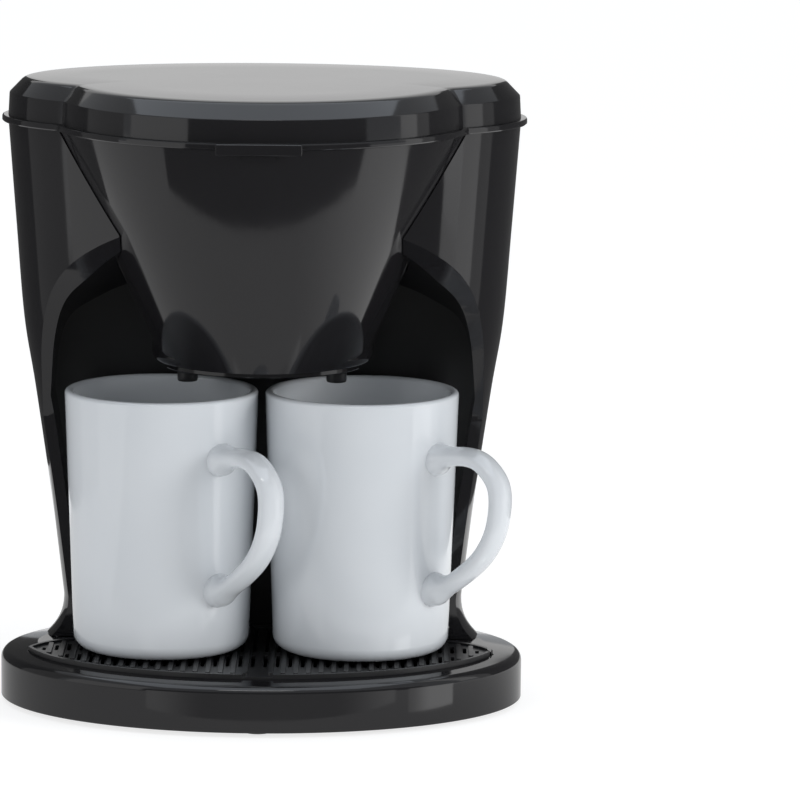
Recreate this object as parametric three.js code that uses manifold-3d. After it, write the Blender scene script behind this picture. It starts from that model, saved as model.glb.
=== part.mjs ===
// Two-cup drip coffee maker, as a scene graph of its separate pieces.
// Millimetres, +Z up, the front faces -Y. The origin is on the floor, under the middle of the machine.

import * as THREE from 'three';
import { mergeVertices } from 'three/addons/utils/BufferGeometryUtils.js';
import Module from 'manifold-3d';

const wasm = await Module();
wasm.setup();

// ---------------------------------------------------------------- driving dimensions

const gap = 0.3;                 // clearance between pieces that touch
const skin = 2.6;                // moulded wall of the housings

const mug = {
  radius: 40.5, taper: 3.5, corner: 6, height: 109.5, wall: 3.6, floor: 6, ring: 3, hollow: 1.2, lip: 1.2,
  apart: 2.8, y: -13,
};
const handle = { reach: 35.5, wide: 11, thick: 8.4, leftTurn: 49, rightTurn: 37 };
const base = { ledge: 25.4, frontLedge: 26.5, y: -2, bottom: 2, rim: 21.6, deck: 24, wall: 2.5, plate: 1.8 };
const grille = {
  margin: 10, sideRoom: 6.6, top: 24.6, thick: 2.6, slot: 2.3, pitch: 5.2, land: 6,
  bar: 7, barY: -30, notch: 8,
};
const tray = { depth: 11, wall: 1.6 };
const foot = { radius: 7.4, neck: 2.6, head: 3.5, headHeight: 1.4, inset: 14 };
const screw = { head: 3, shank: 1.4, sunk: 0.4, grip: 3 };

const body = { y: 18, shoulder: 25.2, waist: 2.2, flare: 7, flareHeight: 17, front: 64, back: 67.4 };
const bay = { rearRoom: 6.5, headroom: 23.6, rise: 47, wallInset: 7, rearLean: 0.69, leanFrom: 120 };
const frontEdge = { y: 6, belowRim: 16.4 };

const nozzle = { inward: 10.8, radius: 4.25, bore: 2.1, length: 4.1, overRim: 3.2 };
const outlet = { overhang: 15.5, halfDepth: 40.3, height: 13.5, lip: 2.5, lipInset: 2.7 };
const cone = { y: 2, height: 98.5, sideRoom: 20.6, step: 7.1, wallGap: 5, floor: 3.5, room: 0.8 };
const latch = { width: 13.8, height: 2.6, proud: 0.9 };
const basket = { y: -16, bottomRadius: 21, below: 10, above: 13.5, wall: 1.6, flange: 3, drain: 3 };

const lid = {
  sideOver: 2.7, frontOver: 2, backOver: 2.6, noseRoom: 6.4,
  lip: 2.7, lipStep: 2.6, draft: 0.6, band: 12.1, bevel: 17.8, bevelIn: 8.4, height: 19.1, topIn: 10,
};
const tab = { width: 35, depth: 2.9, drop: 2 };
const liner = { thick: 1.6, below: 3.6 };
const hinge = {
  inset: 1.4, rise: 2.9, halfWidth: 30, knuckle: 3.4, pin: 1.5, lug: 5, room: 1, foot: 6.9, plate: 2.5,
};

const tank = { wall: 2, height: 59, below: 3 };
const heater = { spread: 52, radius: 6.5, below: 31, overSwitch: 7.6, behindBay: 18 };
const clamp = { thick: 3, height: 14, wide: 8.5, room: 1.2 };
const thermostat = { radius: 8, depth: 5 };
const fuse = { radius: 2.4, length: 22 };
const hose = { radius: 4, bore: 2.4, sleeve: 1.6 };
const valve = { length: 12, proud: 3 };
const arm = { radius: 3, over: 3.4 };
const rocker = {
  width: 10, height: 15, z: 62, sunk: 1.7, flange: 2.4, depth: 13, wall: 1.2, pivot: 1.4, tilt: 9,
};
const gland = { radius: 6, bore: 3.6, z: 38, length: 9, collar: 2, proud: 2 };
const terminal = { x: -33, width: 22, depth: 12, height: 13.7, behindBay: 3.4 };
const wireWell = { left: 18, right: 50, depth: 16, behindBay: 3 };

// Places that follow from those sizes, from the mugs outwards and from the floor up.
const mugX = mug.radius + mug.apart / 2;
const mugSide = mugX + mug.radius;
const mugFloor = grille.top + gap;
const mugRim = mugFloor + mug.height;
const bayRear = mug.y + mug.radius + bay.rearRoom;
const bayBack = bayRear + skin;
const spring = mugRim + bay.headroom;
const waist = mugSide + body.waist;
const bodyHalf = mugSide + body.shoulder;
const baseHalf = waist + base.ledge;
const baseDepth = mug.radius - mug.y + base.frontLedge + base.y;
const nozzleX = mugX - nozzle.inward;
const nozzleBottom = mugRim + nozzle.overRim;
const nozzleTop = nozzleBottom + nozzle.length;
const outletBottom = nozzleTop + gap + outlet.lip;
const outletWidth = nozzleX + outlet.overhang;
const coneRear = bayRear - cone.wallGap;
const coneTop = bodyHalf - cone.sideRoom;
const coneFloor = outletBottom + cone.floor;
const bodyTop = outletBottom + cone.height;
const lidFloor = bodyTop + gap;
const hingeY = body.y + body.back - hinge.inset;
const hingeZ = lidFloor + hinge.rise;
const tankTop = bodyTop - tank.below;
const tankBottom = tankTop - tank.height;
const heaterY = bayRear + heater.behindBay;
const heaterTop = tankBottom - heater.below;
const riserX = heater.spread / 2;
const switchTop = rocker.z + rocker.height / 2 + rocker.flange;
const heaterBend = switchTop + heater.overSwitch + heater.radius + riserX;

// ---------------------------------------------------------------- materials

const finishes = {
  gloss: { color: 0x141416, roughness: 0.12, metalness: 0 },
  satin: { color: 0x1b1b1d, roughness: 0.4, metalness: 0 },
  inner: { color: 0x29292b, roughness: 0.55, metalness: 0 },
  ceramic: { color: 0xf1f1ee, roughness: 0.1, metalness: 0 },
  rubber: { color: 0x1d1d1d, roughness: 0.85, metalness: 0 },
  silicone: { color: 0xd9d6cd, roughness: 0.5, metalness: 0 },
  aluminium: { color: 0xb9bbbd, roughness: 0.35, metalness: 1 },
  steel: { color: 0x9a9c9e, roughness: 0.3, metalness: 1 },
  phenolic: { color: 0x3a2b22, roughness: 0.6, metalness: 0 },
};

const machine = new THREE.Group();

function place(name, shape, finish, parent = machine) {
  const geometry = shape.isBufferGeometry ? shape : geometryOf(shape);
  const mesh = new THREE.Mesh(geometry, new THREE.MeshStandardMaterial(finishes[finish]));
  mesh.name = name;
  parent.add(mesh);
  return mesh;
}

// ---------------------------------------------------------------- solids

function solid(geometry) {
  const bare = geometry.clone();
  bare.deleteAttribute('normal');
  bare.deleteAttribute('uv');
  const merged = mergeVertices(bare, 1e-4);
  return new wasm.Manifold(new wasm.Mesh({
    numProp: 3,
    vertProperties: new Float32Array(merged.attributes.position.array),
    triVerts: new Uint32Array(merged.index.array),
  }));
}

function geometryOf(shape) {
  const mesh = shape.getMesh();
  const geometry = new THREE.BufferGeometry();
  geometry.setAttribute('position', new THREE.BufferAttribute(new Float32Array(mesh.vertProperties), 3));
  geometry.setIndex(new THREE.BufferAttribute(new Uint32Array(mesh.triVerts), 1));
  geometry.computeVertexNormals();
  return geometry;
}

function block(x0, x1, y0, y1, z0, z1) {
  const geometry = new THREE.BoxGeometry(x1 - x0, y1 - y0, z1 - z0);
  return solid(geometry.translate((x0 + x1) / 2, (y0 + y1) / 2, (z0 + z1) / 2));
}

function post(x, y, z0, z1, radius, segments = 16) {
  const geometry = new THREE.CylinderGeometry(radius, radius, z1 - z0, segments);
  return solid(geometry.rotateX(Math.PI / 2).translate(x, y, (z0 + z1) / 2));
}

function bar(x0, x1, y, z, radius, segments = 16) {
  const geometry = new THREE.CylinderGeometry(radius, radius, x1 - x0, segments);
  return solid(geometry.rotateZ(Math.PI / 2).translate((x0 + x1) / 2, y, z));
}

// A turned piece about a vertical axis. The profile lists [radius, height] upwards and closes itself.
function turned(profile, x, y, segments = 24) {
  const points = profile.map(([radius, height]) => new THREE.Vector2(radius, height));
  points.push(points[0].clone());
  const geometry = new THREE.LatheGeometry(points, segments);
  return solid(geometry.rotateX(Math.PI / 2).translate(x, y, 0));
}

// A closed form with one ring at each level. outline(angle, level) gives each ring its x and y.
function formed(outline, levels, segments, centre) {
  const last = levels.length - 1;
  const geometry = new THREE.CylinderGeometry(1, 1, last, segments, last).rotateX(Math.PI / 2);
  const spots = geometry.attributes.position;
  for (let i = 0; i < spots.count; i += 1) {
    const level = levels[Math.round(spots.getZ(i) + last / 2)];
    const reach = Math.hypot(spots.getX(i), spots.getY(i));
    const angle = Math.atan2(spots.getY(i), spots.getX(i));
    const [x, y] = reach > 0.5 ? outline(angle, level) : [0, centre];
    spots.setXYZ(i, x, y, level.z);
  }
  return solid(geometry);
}

const ellipse = (halfWidth, front, back, y) => (angle, { inset = 0 }) => [
  (halfWidth - inset) * Math.cos(angle),
  y + ((Math.sin(angle) < 0 ? front : back) - inset) * Math.sin(angle),
];

// A flat outline drawn in x and z and run along y, or in y and z and run along x.
function alongY(points, y0, y1, steps = 1) {
  const shape = new THREE.Shape(points.map(([x, z]) => new THREE.Vector2(x, z)));
  const geometry = new THREE.ExtrudeGeometry(shape, { depth: y1 - y0, steps, bevelEnabled: false });
  return geometry.rotateX(Math.PI / 2).translate(0, y1, 0);
}

function alongX(points, x0, x1) {
  const shape = new THREE.Shape(points.map(([y, z]) => new THREE.Vector2(y, z)));
  const geometry = new THREE.ExtrudeGeometry(shape, { depth: x1 - x0, bevelEnabled: false });
  return solid(geometry.rotateX(Math.PI / 2).rotateZ(Math.PI / 2).translate(x0, 0, 0));
}

// A round or oval rod that follows a smooth curve through the given points.
function rod(points, radius, steps, { wide = radius, sides = 10 } = {}) {
  const section = new THREE.Shape(
    Array.from({ length: sides }, (_, i) => {
      const angle = (i / sides) * 2 * Math.PI;
      return new THREE.Vector2(radius * Math.cos(angle), wide * Math.sin(angle));
    }),
  );
  const path = new THREE.CatmullRomCurve3(points.map((p) => new THREE.Vector3(...p)), false, 'centripetal');
  return solid(new THREE.ExtrudeGeometry(section, { steps, extrudePath: path, bevelEnabled: false }));
}

const joined = (...shapes) => shapes.reduce((all, next) => all.add(next));
const mirrored = (make) => joined(make(-1), make(1));

// ---------------------------------------------------------------- base

const baseOutline = ellipse(baseHalf, baseDepth, baseDepth, base.y);
const baseForm = (levels) => formed(baseOutline, levels, 52, base.y);

// The grille fills the front of the base and reaches back under the mugs, between the side walls.
const grilleBack = bayRear - gap - 1;
const grilleSide = waist - grille.sideRoom;
function grilleForm(z0, z1, inset) {
  const oval = baseForm([{ z: z0, inset: grille.margin + inset }, { z: z1, inset: grille.margin + inset }]);
  const side = grilleSide - inset;
  const frontWide = baseHalf - grille.margin - 2.4 - inset;
  const shoulder = base.y - 15;
  const plan = new THREE.Shape();
  plan.moveTo(-frontWide, -2 * baseDepth);
  plan.lineTo(frontWide, -2 * baseDepth);
  plan.lineTo(frontWide, shoulder - inset);
  plan.quadraticCurveTo(frontWide - 6, base.y - inset, side, base.y + 4 - inset);
  plan.lineTo(side - 2, grilleBack - inset);
  plan.lineTo(-side + 2, grilleBack - inset);
  plan.lineTo(-side, base.y + 4 - inset);
  plan.quadraticCurveTo(-frontWide + 6, base.y - inset, -frontWide, shoulder - inset);
  const cutout = new THREE.ExtrudeGeometry(plan, { depth: z1 - z0, curveSegments: 4, bevelEnabled: false });
  return oval.intersect(solid(cutout.translate(0, 0, z0)));
}

const grilleUnder = grille.top - grille.thick;
const trayFloor = grilleUnder - tray.depth;

// Feet and screws stand on one ring inside the base's edge, at these angles in degrees.
const onRing = (degrees) => {
  const angle = THREE.MathUtils.degToRad(degrees);
  return baseOutline(angle, { inset: foot.inset });
};
const feet = [-90, -149.5, -30.5, 131.3, 48.7].map(onRing);
const baseScrews = [-131.3, -48.7, 156.4, 23.6].map(onRing);

const baseOuter = baseForm([
  { z: base.bottom }, { z: base.rim - 3.2 }, { z: base.rim - 1.1, inset: 0.8 },
  { z: base.rim, inset: 3 }, { z: base.deck, inset: 17 },
]);
const baseInner = baseForm([
  { z: base.bottom - 1, inset: base.wall }, { z: base.rim - 5, inset: base.wall },
  { z: base.rim - base.wall, inset: base.wall + 3 },
]);
const traySeat = grilleForm(trayFloor - gap, base.deck + 5, -0.4);
const seatWall = grilleForm(trayFloor - gap - base.wall, base.deck + 5, -0.4 - base.wall);
const wellFront = bayBack + wireWell.behindBay;
const wireOpening = block(-wireWell.left, wireWell.right, wellFront, wellFront + wireWell.depth,
  base.rim - 2 * base.wall, base.deck + 1);
place('base_housing', baseOuter.subtract(baseInner.subtract(seatWall)).subtract(traySeat)
  .subtract(wireOpening), 'gloss');

const plateTop = base.bottom + base.plate;
let basePlate = baseForm([
  { z: base.bottom, inset: base.wall + gap }, { z: plateTop, inset: base.wall + gap },
]);
for (const [x, y] of feet) {
  basePlate = basePlate.subtract(post(x, y, 0, plateTop + 1, foot.neck + gap));
}
for (const [x, y] of baseScrews) {
  basePlate = basePlate.subtract(post(x, y, 0, plateTop + 1, screw.shank + gap));
}
place('base_plate', basePlate, 'satin');

feet.forEach(([x, y], i) => {
  const under = base.bottom - gap;
  const over = plateTop + gap;
  place(`foot_${i + 1}`, turned([
    [0, 0], [foot.radius - 0.6, 0], [foot.radius, under], [foot.neck, under],
    [foot.neck, over], [foot.head, over], [foot.neck, over + foot.headHeight], [0, over + foot.headHeight],
  ], x, y, 14), 'rubber');
});

baseScrews.forEach(([x, y], i) => {
  const seat = base.bottom - gap;
  place(`base_screw_${i + 1}`, turned([
    [0, screw.sunk], [screw.head, screw.sunk], [screw.head, seat], [screw.shank, seat],
    [screw.shank, plateTop + screw.grip], [0, plateTop + screw.grip],
  ], x, y, 10), 'steel');
});

// ---------------------------------------------------------------- drip tray and grille

place('drip_tray', grilleForm(trayFloor, grilleUnder - gap, 0)
  .subtract(grilleForm(trayFloor + tray.wall, grilleUnder + 1, tray.wall)), 'satin');

let plate = grilleForm(grilleUnder, grille.top, 0);
const slotField = grilleForm(grilleUnder - 1, grille.top + 1, grille.land);
let slots = null;
const slotCount = Math.floor((baseHalf - grille.margin) / grille.pitch);
const rows = [[-2 * baseDepth, grille.barY], [grille.barY + grille.bar, grilleBack]];
for (let i = -slotCount; i < slotCount; i += 1) {
  const x = (i + 0.5) * grille.pitch;
  for (const [y0, y1] of rows) {
    const slot = block(x - grille.slot / 2, x + grille.slot / 2, y0, y1, grilleUnder - 0.5, grille.top + 0.5);
    slots = slots ? slots.add(slot) : slot;
  }
}
plate = plate.subtract(slots.intersect(slotField));
const grilleFront = base.y - baseDepth + grille.margin;
const fingerNotch = post(0, grilleFront - 2, grilleUnder - 1, grille.top + 1, grille.notch, 24);
place('drip_grille', plate.subtract(fingerNotch), 'satin');

// ---------------------------------------------------------------- body shell

// Half width of the body at each height: a flared foot, a slim waist and a wide top.
const bodyFoot = base.deck + gap;
const flareTop = bodyFoot + body.flareHeight;
const flank = new THREE.SplineCurve([
  new THREE.Vector2(waist, flareTop), new THREE.Vector2(mugSide + 6.9, 80),
  new THREE.Vector2(mugSide + 14.1, mugRim - 4), new THREE.Vector2(mugSide + 18.8, spring + 2),
  new THREE.Vector2(mugSide + 22, spring + 42), new THREE.Vector2(bodyHalf, bodyTop),
]).getPoints(60);
function halfWidthAt(z) {
  const above = flank.findIndex((p) => p.y >= z);
  if (above === 0) return waist + body.flare * Math.max(0, (flareTop - z) / body.flareHeight) ** 2.4;
  if (above < 0) return bodyHalf;
  return THREE.MathUtils.mapLinear(z, flank[above - 1].y, flank[above].y, flank[above - 1].x, flank[above].x);
}
const backAt = (z) => body.y + body.back * halfWidthAt(z) / bodyHalf;

const bodyOutline = (angle, { z, inset = 0 }) => {
  const half = halfWidthAt(z);
  const share = half / bodyHalf;
  return ellipse(half, share * body.front, share * body.back, body.y)(angle, { inset });
};
const bodyForm = (heights, inset) => formed(
  bodyOutline, heights.map((z) => ({ z, inset })), 56, body.y,
);
const bodyHeights = [bodyFoot, bodyFoot + 2, bodyFoot + 5, bodyFoot + 9, flareTop, 80, mugRim - 24, mugRim,
  spring + 2, spring + 42];

// The brewing cone's outside radius at each height.
const coneSlope = (coneTop - outletWidth + cone.step) / cone.height;
const coneRadius = (z) => coneTop - coneSlope * (bodyTop - z);
function coneForm(extra, z0, z1) {
  return turned([
    [0, z0], [coneRadius(z0) + extra, z0], [coneRadius(z1) + extra, z1], [0, z1],
  ], 0, cone.y, 60);
}
const behindCone = (y) => block(-200, 200, -200, y, 0, 400);

// The mug bay: an arch seen from the front, whose ceiling comes down towards the rear.
function bayForm(extra) {
  const side = (z) => halfWidthAt(z) - bay.wallInset + extra;
  const top = extra + spring;
  const arch = new THREE.SplineCurve([
    new THREE.Vector2(side(spring - 30) + 0.2, spring - 28), new THREE.Vector2(mugSide + 4.8 + extra, spring),
    new THREE.Vector2(mugSide + 0.2 + extra, spring + 17), new THREE.Vector2(mugSide - 9.4 + extra, top + 27),
    new THREE.Vector2(mugSide - 24.4, top + 37), new THREE.Vector2(mugX - 8, top + bay.rise - 3),
    new THREE.Vector2(0, top + bay.rise),
  ]).getPoints(14).map((p) => [p.x, p.y]);
  const low = [[side(45) + 2, base.deck - 3], [side(45), 45], [side(80), 80], [side(105), 105]];
  const right = [...low, ...arch];
  const left = right.slice(0, -1).reverse().map(([x, z]) => [-x, z]);
  const front = bayRear - 128;
  const rear = bayRear + extra;
  const geometry = alongY([...right, ...left], front, rear, 2);
  const spots = geometry.attributes.position;
  for (let i = 0; i < spots.count; i += 1) {
    const depth = Math.max(0, (spots.getY(i) - (front + rear) / 2) / ((rear - front) / 2));
    const over = Math.max(0, spots.getZ(i) - bay.leanFrom);
    spots.setZ(i, spots.getZ(i) - over * depth * (1 - bay.rearLean));
  }
  return solid(geometry);
}

// The front of the side walls, seen from the side: upright, then leaning forward to the cone.
function aheadOfWalls(extra) {
  const face = frontEdge.y + extra;
  const lean = new THREE.SplineCurve([
    new THREE.Vector2(face, mugRim - frontEdge.belowRim), new THREE.Vector2(face - 10, spring - 8),
    new THREE.Vector2(face - 20, spring + 18), new THREE.Vector2(face - 35, spring + 38),
    new THREE.Vector2(face - 66, spring + 68),
  ]).getPoints(10).map((p) => [p.x, p.y]);
  return alongX([[-130, base.deck - 4], [face, base.deck - 4], ...lean, [-130, spring + 68]], -150, 150);
}

const bodyOuter = bodyForm([...bodyHeights, bodyTop], 0);
const bodyHollow = bodyForm([bodyFoot - 1, ...bodyHeights.slice(2), bodyTop + 1], skin)
  .subtract(coneForm(cone.room + skin, 120, bodyTop + 2).intersect(behindCone(coneRear + gap + skin)))
  .subtract(bayForm(skin))
  .subtract(aheadOfWalls(skin));
const notchHalf = hinge.halfWidth + hinge.lug + 3;
const rearNotch = block(-notchHalf, notchHalf, hingeY - 5, hingeY + 9, hingeZ - hinge.foot - gap,
  bodyTop + 2);

// The switch sits in a shallow pocket of the rear wall, above the cord's gland.
const rockerY = backAt(rocker.z) - rocker.sunk;
const rockerBlock = (extra, y0, y1) => block(-rocker.width / 2 - extra, rocker.width / 2 + extra, y0, y1,
  rocker.z - rocker.height / 2 - extra, rocker.z + rocker.height / 2 + extra);
const rockerPocket = rockerBlock(rocker.flange + gap, rockerY, rockerY + 12);
const rockerHole = rockerBlock(gap, rockerY - 10, rockerY + 2);
const glandY = backAt(gland.z) + gland.proud;
const alongRear = (radius, y0, y1) => post(0, -gland.z, y0, y1, radius, 24).rotate([-90, 0, 0]);
const glandHole = alongRear(gland.radius + gap, glandY - 14, glandY + 10);

place('body_shell', bodyOuter
  .subtract(coneForm(cone.room, 120, bodyTop + 2).intersect(behindCone(coneRear + gap)))
  .subtract(bayForm(0))
  .subtract(aheadOfWalls(0))
  .subtract(bodyHollow)
  .subtract(rearNotch).subtract(rockerPocket).subtract(rockerHole).subtract(glandHole), 'gloss');

// ---------------------------------------------------------------- brewing cone, nozzles and basket

const outletOutline = ellipse(outletWidth, outlet.halfDepth, outlet.halfDepth, cone.y);
const outletBlock = formed(outletOutline, [
  { z: outletBottom - outlet.lip, inset: outlet.lipInset }, { z: outletBottom, inset: outlet.lipInset },
  { z: outletBottom, inset: 1.2 }, { z: outletBottom + 1.2, inset: 0 }, { z: outletBottom + outlet.height },
], 48, cone.y);
const coneInner = turned([
  [0, coneFloor], [coneRadius(coneFloor) - skin - 2, coneFloor],
  [coneRadius(coneFloor + 4) - skin, coneFloor + 4],
  [coneRadius(bodyTop + 1) - skin, bodyTop + 1], [0, bodyTop + 1],
], 0, cone.y, 56).intersect(behindCone(coneRear - skin));
const latchTop = bodyTop - tab.drop;
const latchFace = cone.y - coneRadius(latchTop) - latch.proud;
const latchBlock = block(-latch.width / 2, latch.width / 2, latchFace, latchFace + skin + 1,
  latchTop - latch.height, latchTop);
const drain = mirrored((side) => post(side * nozzleX, mug.y, outletBottom - 5, coneFloor + 1, nozzle.bore));
place('filter_cone', joined(coneForm(0, outletBottom + 0.4, bodyTop), outletBlock, latchBlock)
  .intersect(behindCone(coneRear)).subtract(coneInner).subtract(drain), 'gloss');

for (const [name, side] of [['nozzle_left', -1], ['nozzle_right', 1]]) {
  place(name, turned([
    [nozzle.bore, nozzleBottom], [nozzle.radius - 0.5, nozzleBottom], [nozzle.radius, nozzleBottom + 0.5],
    [nozzle.radius, nozzleTop], [nozzle.bore, nozzleTop],
  ], side * nozzleX, mug.y, 20), 'satin');
}

const basketTop = bodyTop - basket.below;
const basketBottom = outletBottom + basket.above;
const basketRadius = coneRear - basket.y - basket.flange;
const basketOuter = [
  [0, basketBottom], [basket.bottomRadius, basketBottom], [basketRadius, basketTop - 2],
  [basketRadius + basket.flange, basketTop - 2], [basketRadius + basket.flange, basketTop],
  [0, basketTop],
];
const basketInner = [
  [0, basketBottom + basket.wall], [basket.bottomRadius - basket.wall, basketBottom + basket.wall],
  [basketRadius - basket.wall, basketTop + 1], [0, basketTop + 1],
];
const basketDrain = post(0, basket.y, basketBottom - 1, basketBottom + basket.wall + 1, basket.drain);
place('filter_basket', turned(basketOuter, 0, basket.y, 36).subtract(turned(basketInner, 0, basket.y, 36))
  .intersect(behindCone(coneRear - skin - gap)).subtract(basketDrain), 'inner');

// ---------------------------------------------------------------- lid

const lidTop = lidFloor + lid.height;
const noseRadius = coneTop + lid.frontOver;
const noseBack = body.y + body.back - cone.y - lid.noseRoom;
const lidBody = (levels) => joined(
  formed(ellipse(bodyHalf + lid.sideOver, body.front + lid.frontOver, body.back + lid.backOver, body.y),
    levels, 56, body.y),
  formed(ellipse(noseRadius, noseRadius, noseBack, cone.y), levels, 56, cone.y),
);
const lidShape = lidBody([
  { z: lidFloor }, { z: lidFloor + lid.lip }, { z: lidFloor + lid.lip, inset: lid.lipStep },
  { z: lidFloor + lid.band, inset: lid.lipStep + lid.draft },
  { z: lidFloor + lid.bevel, inset: lid.bevelIn }, { z: lidTop, inset: lid.topIn },
]);
const lidInside = lid.lipStep + lid.draft + skin;
const lidHollow = lidBody([
  { z: lidFloor - 2, inset: lidInside }, { z: lidFloor + lid.band - 1.4, inset: lidInside },
  { z: lidTop - skin, inset: lidInside + lid.topIn - lid.lipStep - 2 },
]);
const tabFront = cone.y - noseRadius - 1;
const fingerTab = block(-tab.width / 2, tab.width / 2, tabFront, tabFront + tab.depth, lidFloor - tab.drop,
  lidFloor + lid.lip);

// A recess in the lid's rear edge takes the hinge. The knuckle joins the lid at the recess's inner wall.
const recessFront = hingeY - hinge.knuckle - hinge.room;
const recessHalf = hinge.halfWidth + hinge.lug + 6;
const recessTop = hingeZ + hinge.knuckle + 2 * hinge.room;
const hingeRecess = block(-recessHalf, recessHalf, recessFront, hingeY + 9, lidFloor - 2, recessTop);
const hingeWall = block(-recessHalf - 2, recessHalf + 2, recessFront - skin, recessFront, lidFloor + 0.4,
  recessTop + skin);
const pinHole = bar(-150, 150, hingeY, hingeZ, hinge.pin + gap);
const knuckle = joined(
  bar(-hinge.halfWidth, hinge.halfWidth, hingeY, hingeZ, hinge.knuckle, 20),
  block(-hinge.halfWidth, hinge.halfWidth, recessFront - 0.6, hingeY, hingeZ - 1.2, hingeZ + 1.6),
).subtract(pinHole);
place('lid_shell', joined(
  lidShape.subtract(lidHollow).subtract(hingeRecess), hingeWall, fingerTab, knuckle,
), 'gloss');

const linerZ = lidFloor + lid.band - liner.below;
place('lid_liner', lidBody([
  { z: linerZ, inset: lidInside + gap }, { z: linerZ + liner.thick, inset: lidInside + gap },
]).intersect(behindCone(recessFront - skin - gap)), 'satin');

const lugInner = hinge.halfWidth + gap;
const lugOuter = lugInner + hinge.lug;
const lug = (side) => {
  const [x0, x1] = side > 0 ? [lugInner, lugOuter] : [-lugOuter, -lugInner];
  return bar(x0, x1, hingeY, hingeZ, hinge.knuckle + 0.2, 20)
    .add(block(x0, x1, hingeY - hinge.knuckle, hingeY + 4, hingeZ - hinge.foot, hingeZ - 0.5));
};
const hingeBar = block(-hinge.halfWidth - 2, hinge.halfWidth + 2, hingeY - hinge.knuckle, hingeY + 1.6,
  hingeZ - hinge.foot, hingeZ - hinge.foot + hinge.plate);
place('hinge_bracket', joined(mirrored(lug), hingeBar).subtract(pinHole), 'satin');
place('hinge_pin', bar(-lugOuter, lugOuter, hingeY, hingeZ, hinge.pin), 'steel');

// ---------------------------------------------------------------- water tank

const tankInset = hinge.inset + hinge.knuckle + gap;
const tankFront = bayBack + skin;
const tankForm = (inset, z0, z1) => formed(bodyOutline, [{ z: z0, inset }, { z: z1, inset }], 48, body.y);
const behind = (y) => block(-200, 200, y, 200, 0, 400);
const tankHoles = joined(
  post(riserX, heaterY, tankBottom - 1, tankBottom + tank.wall + 1, hose.radius + hose.sleeve + gap),
  post(-riserX, heaterY, tankBottom - 1, tankBottom + tank.wall + 1, hose.bore),
);
place('water_tank', tankForm(tankInset, tankBottom, tankTop).intersect(behind(tankFront))
  .subtract(tankForm(tankInset + tank.wall, tankBottom + tank.wall, tankTop + 1)
    .intersect(behind(tankFront + tank.wall)))
  .subtract(tankHoles), 'inner');

// ---------------------------------------------------------------- heater and water path

const heaterPath = [[-riserX, heaterY, heaterTop]];
for (let i = 0; i <= 8; i += 1) {
  const angle = Math.PI + (i / 8) * Math.PI;
  heaterPath.push([riserX * Math.cos(angle), heaterY, heaterBend + riserX * Math.sin(angle)]);
}
heaterPath.push([riserX, heaterY, heaterTop]);
place('heater_tube', rod(heaterPath, heater.radius, 28, { sides: 12 }), 'aluminium');

// The clamp stands off the bay's rear wall and holds both legs of the tube in saddles.
const clampZ = (heaterTop + heaterBend) / 2;
const clampFront = bayBack + gap;
const clampBlock = (x0, x1, y1) => block(x0, x1, clampFront, y1, clampZ - clamp.height / 2,
  clampZ + clamp.height / 2);
const clampPlate = clampBlock(-riserX - clamp.wide, riserX + clamp.wide, clampFront + clamp.thick);
const saddle = (side) => clampBlock(side * riserX - clamp.wide, side * riserX + clamp.wide, heaterY - 1)
  .subtract(post(side * riserX, heaterY, heaterBend, heaterTop, heater.radius + clamp.room));
place('heater_clamp', joined(clampPlate, mirrored(saddle)), 'steel');
place('thermostat', post(0, 0, 0, thermostat.depth, thermostat.radius, 20).rotate([-90, 0, 0])
  .translate([0, clampFront + clamp.thick + gap, clampZ]), 'phenolic');
place('thermal_fuse', bar(-fuse.length / 2, fuse.length / 2, heaterY - heater.radius - fuse.radius - gap,
  heaterBend - riserX, fuse.radius, 12), 'steel');

const valveTop = tankBottom - gap;
const valveBottom = valveTop - valve.length;
place('check_valve', turned([
  [0, valveBottom], [hose.radius + valve.proud / 2, valveBottom],
  [hose.radius + valve.proud, valveBottom + 3], [hose.radius + valve.proud, valveTop], [0, valveTop],
], -riserX, heaterY, 20), 'silicone');
place('inlet_hose', post(-riserX, heaterY, heaterTop + gap, valveBottom - gap, hose.radius), 'silicone');

const armZ = lidFloor + arm.over;
const riserTop = armZ - 8;
place('riser_tube', post(riserX, heaterY, heaterTop + gap, riserTop, hose.radius), 'silicone');
place('riser_seal', turned([
  [hose.radius + gap, tankBottom - 2], [hose.radius + 4, tankBottom - 2],
  [hose.radius + 4, tankBottom - gap], [hose.radius + hose.sleeve, tankBottom - gap],
  [hose.radius + hose.sleeve, tankBottom + tank.wall], [hose.radius + gap, tankBottom + tank.wall],
], riserX, heaterY, 20), 'rubber');
place('outlet_arm', rod([
  [riserX, heaterY, riserTop + gap], [riserX, heaterY, riserTop + 4], [riserX - 3, heaterY - 7, armZ],
  [3, basket.y + 12, armZ], [0, basket.y + 1, armZ - 4], [0, basket.y, basketTop + 3],
], arm.radius, 20, { sides: 8 }), 'satin');

// ---------------------------------------------------------------- power switch and cord inlet

place('switch_housing', joined(
  rockerBlock(rocker.flange, rockerY + gap, rockerY + 2), rockerBlock(0, rockerY - rocker.depth, rockerY + 1),
).subtract(rockerBlock(-rocker.wall, rockerY - rocker.depth / 2, rockerY + 6)), 'satin');

// The key's section about its pivot: a shallow V whose upper end stands out when the switch is off.
const keyWide = rocker.width / 2 - rocker.wall - gap;
const keyTall = rocker.height / 2 - rocker.wall - 2 * gap;
const keySection = [
  [-1.5, 0.7 - keyTall], [2.6, -keyTall], [1.9, 0], [2.6, keyTall], [-1.5, keyTall - 0.7], [-3.5, 0],
];
place('switch_rocker', alongX(keySection, -keyWide, keyWide).rotate([-rocker.tilt, 0, 0])
  .translate([0, rockerY - rocker.pivot, rocker.z]), 'satin');

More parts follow.
